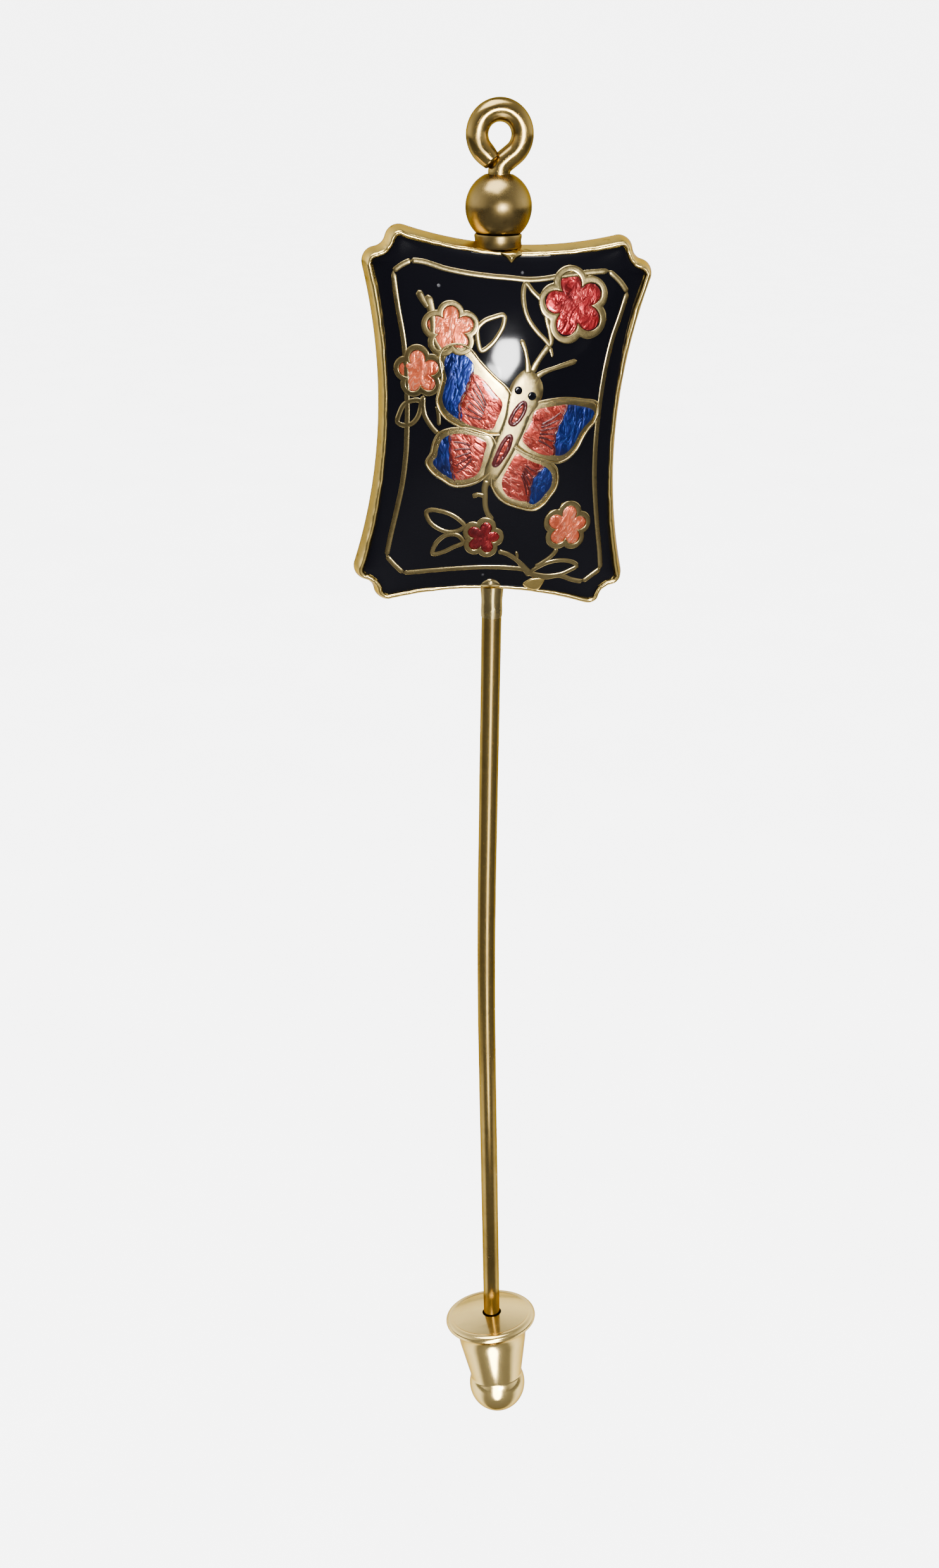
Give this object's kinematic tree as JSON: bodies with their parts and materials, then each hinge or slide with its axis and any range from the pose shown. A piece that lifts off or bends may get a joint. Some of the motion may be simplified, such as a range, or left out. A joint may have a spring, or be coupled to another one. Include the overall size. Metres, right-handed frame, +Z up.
{
  "type": "enamelled stick pin with clutch",
  "caption": "Stick pin with a wire eye, ball bead and enamelled butterfly plaque bead on a straight wire, its point covered by a sliding clutch.",
  "frame": {"origin": "on the wire's axis at the lower end of the solder collar under the plaque bead", "axes": "+Z up the wire towards the eye, front of the plaque faces -Y, +X to the right seen from the front"},
  "size_m": [0.014, 0.0056, 0.0774],
  "materials": {
    "wire_brass": "drawn brass wire, satin, darkened in places",
    "bead_brass": "spun brass, satin, dulled",
    "solder": "gilded solder, smooth",
    "struck_gilt": "die-struck and gilded, satin with bright worn edges",
    "clutch_gilt": "polished pale gilt",
    "spring_brass": "hard brass",
    "black_enamel": "opaque black vitreous enamel, glossy",
    "rose_enamel": "transparent rose enamel over scored metal",
    "blue_enamel": "transparent cobalt enamel over scored metal",
    "crimson_enamel": "transparent crimson enamel over scored metal",
    "peach_enamel": "translucent salmon enamel over scored metal"
  },
  "bodies": {
    "pin": {"pin_stem": "wire_brass", "eye_wire": "wire_brass", "seat_cup": "bead_brass", "solder_collar": "solder", "front_shell": "struck_gilt", "front_border_enamel": "black_enamel", "front_field_enamel": "black_enamel", "front_pink_enamel": "rose_enamel", "front_blue_enamel": "blue_enamel", "front_red_enamel": "crimson_enamel", "front_peach_enamel": "peach_enamel", "front_eye_enamel": "black_enamel", "back_shell": "struck_gilt", "back_border_enamel": "black_enamel", "back_field_enamel": "black_enamel", "back_pink_enamel": "rose_enamel", "back_blue_enamel": "blue_enamel", "back_red_enamel": "crimson_enamel", "back_peach_enamel": "peach_enamel", "back_eye_enamel": "black_enamel"},
    "ball": {"ball_bead": "bead_brass"},
    "grip": {"grip_sleeve": "spring_brass"},
    "clutch": {"clutch_shell": "clutch_gilt", "clutch_disc": "clutch_gilt"}
  },
  "joints": [
    {"name": "ball_turn", "type": "hinge", "parent": "pin", "child": "ball", "pos_m": [0, 0, 0.0193], "axis": [0, 0, 1], "continuous": true},
    {"name": "clutch_slide", "type": "slide", "parent": "pin", "child": "grip", "axis": [0.0298, 0, -0.9996], "range_m": [0, 0.012]},
    {"name": "clutch_turn", "type": "hinge", "parent": "grip", "child": "clutch", "pos_m": [0.0008, 0, -0.04729], "axis": [0.0298, 0, -0.9996], "continuous": true}
  ]
}
